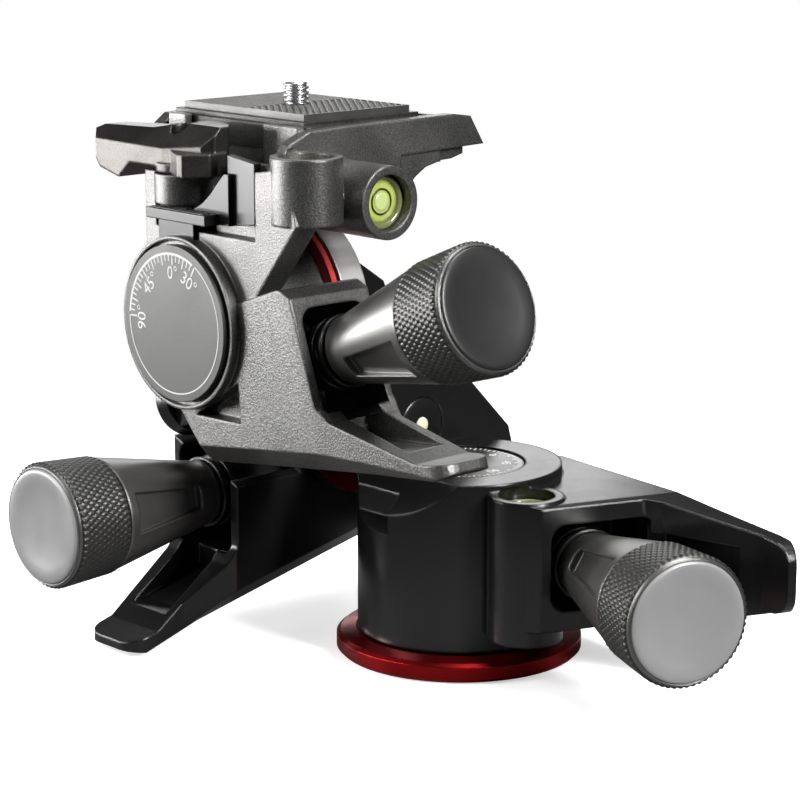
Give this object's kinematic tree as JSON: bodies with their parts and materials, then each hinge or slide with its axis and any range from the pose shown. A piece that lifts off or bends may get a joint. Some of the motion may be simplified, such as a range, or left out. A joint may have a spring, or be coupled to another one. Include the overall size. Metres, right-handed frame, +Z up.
{
  "type": "geared tripod head",
  "caption": "Three-way geared tripod head: three knob-driven worm gears for pan, tilt and lateral tilt, spring-released cradles, and a quick-release plate with clamp lever.",
  "frame": {"origin": "centre of the round base's bottom face, at the mouth of the tripod thread", "axes": "+Z up along the pan axis, +Y the way the lens looks, +X to the user's right"},
  "size_m": [0.1739, 0.121, 0.1354],
  "materials": {
    "black_casting": "satin black paint on die-cast aluminium",
    "grey_casting": "fine-grained charcoal paint on die-cast aluminium",
    "red_anodised": "metallic red",
    "knob_black": "satin",
    "grip_black": "knurled",
    "cap_grey": "satin light grey",
    "cap_black": "satin black",
    "dial_grey": "satin with white print",
    "level_green": "clear yellow-green",
    "lever_grey": "warm gun-metal grey",
    "latch_black": "satin",
    "drum_grey": "brushed",
    "plate_dark": "fine-grained dark grey",
    "plate_rubber": "matt ribbed",
    "screw_chrome": "polished",
    "cap_cream": "satin cream",
    "bronze": "cut teeth, greased",
    "dark_metal": "satin black",
    "steel": "turned"
  },
  "bodies": {
    "base": {"base_ring": "red_anodised", "base_plate": "dark_metal", "pan_spindle": "steel", "pan_scale": "dial_grey", "pan_wheel": "bronze", "base_screws": "steel"},
    "pan_body": {"pan_housing": "black_casting", "pan_level": "level_green", "tilt_spindle": "steel", "tilt_axle_cap": "cap_cream", "tilt_wheel": "bronze", "pan_pin": "steel", "pan_spring": "steel"},
    "pan_release": {"pan_cradle": "black_casting"},
    "pan_drive": {"pan_worm": "steel", "pan_knob": "knob_black", "pan_grip": "grip_black", "pan_cap": "cap_grey"},
    "tilt_body": {"tilt_housing": "black_casting", "tilt_ring": "red_anodised", "tilt_cover": "dark_metal", "lateral_drum": "drum_grey", "lateral_spindle": "steel", "lateral_dial": "dial_grey", "lateral_wheel": "bronze", "tilt_pin": "steel", "tilt_spring": "steel"},
    "tilt_release": {"tilt_cradle": "black_casting"},
    "tilt_drive": {"tilt_worm": "steel", "tilt_knob": "knob_black", "tilt_grip": "grip_black", "tilt_cap": "cap_grey"},
    "lateral_body": {"lateral_housing": "grey_casting", "lateral_ring": "red_anodised", "top_level": "level_green", "side_level": "level_green", "lever_stud": "steel", "lateral_pin": "steel", "lateral_spring": "steel"},
    "lateral_release": {"lateral_cradle": "black_casting"},
    "lateral_drive": {"lateral_worm": "steel", "lateral_knob": "knob_black", "lateral_grip": "grip_black", "lateral_cap": "cap_black"},
    "lever": {"clamp_lever": "lever_grey"},
    "latch": {"safety_latch": "latch_black"},
    "plate": {"plate_slab": "plate_dark", "plate_pad": "plate_rubber"},
    "screw": {"camera_screw": "screw_chrome"}
  },
  "joints": [
    {"name": "pan_turn", "type": "hinge", "parent": "base", "child": "pan_body", "pos_m": [0, 0, 0.028], "axis": [0, 0, 1], "continuous": true},
    {"name": "tilt_turn", "type": "hinge", "parent": "pan_body", "child": "tilt_body", "pos_m": [-0.054, 0.0035, 0.052], "axis": [-1, 0, 0], "range_deg": [-20, 90]},
    {"name": "lateral_turn", "type": "hinge", "parent": "tilt_body", "child": "lateral_body", "pos_m": [-0.048, -0.0325, 0.08], "axis": [0, 1, 0], "range_deg": [-90, 30]},
    {"name": "pan_release_tip", "type": "hinge", "parent": "pan_body", "child": "pan_release", "pos_m": [-0.00712, 0.02084, 0.028], "axis": [0, 0, 1], "range_deg": [0, 6], "stiffness_Nm_per_rad": 1.5, "springref_deg": -14.32},
    {"name": "pan_knob_spin", "type": "hinge", "parent": "pan_release", "child": "pan_drive", "pos_m": [0.06214, -0.0052, 0.028], "axis": [0.9361, -0.3518, 0], "continuous": true},
    {"name": "tilt_release_tip", "type": "hinge", "parent": "tilt_body", "child": "tilt_release", "pos_m": [-0.054, 0.0175, 0.035], "axis": [1, 0, 0], "range_deg": [0, 6], "stiffness_Nm_per_rad": 1.5, "springref_deg": -14.32},
    {"name": "tilt_knob_spin", "type": "hinge", "parent": "tilt_release", "child": "tilt_drive", "pos_m": [-0.054, -0.0565, 0.035], "axis": [0, -1, 0], "continuous": true},
    {"name": "lateral_release_tip", "type": "hinge", "parent": "lateral_body", "child": "lateral_release", "pos_m": [-0.05552, -0.0325, 0.0593], "axis": [0, 1, 0], "range_deg": [0, 6], "stiffness_Nm_per_rad": 1.5, "springref_deg": -14.32},
    {"name": "lateral_knob_spin", "type": "hinge", "parent": "lateral_release", "child": "lateral_drive", "pos_m": [0.01423, -0.0325, 0.084], "axis": [0.9426, 0, 0.3338], "continuous": true},
    {"name": "lever_swing", "type": "hinge", "parent": "lateral_body", "child": "lever", "pos_m": [-0.053, -0.041, 0.12], "axis": [0, 0, 1], "range_deg": [0, 35]},
    {"name": "latch_slide", "type": "slide", "parent": "lateral_body", "child": "latch", "axis": [0, 0, -1], "range_m": [0, 0.002], "stiffness_N_per_m": 400, "springref_m": -0.004},
    {"name": "plate_lift", "type": "slide", "parent": "lateral_body", "child": "plate", "axis": [0, 0, 1], "range_m": [0, 0.012]},
    {"name": "screw_turn", "type": "hinge", "parent": "plate", "child": "screw", "pos_m": [-0.048, -0.0099, 0.13], "axis": [0, 0, 1], "continuous": true}
  ],
  "couplings": [
    {"joint": "pan_knob_spin", "follows": "pan_turn", "ratio": -36},
    {"joint": "tilt_knob_spin", "follows": "tilt_turn", "ratio": 36},
    {"joint": "lateral_knob_spin", "follows": "lateral_turn", "ratio": -36}
  ]
}
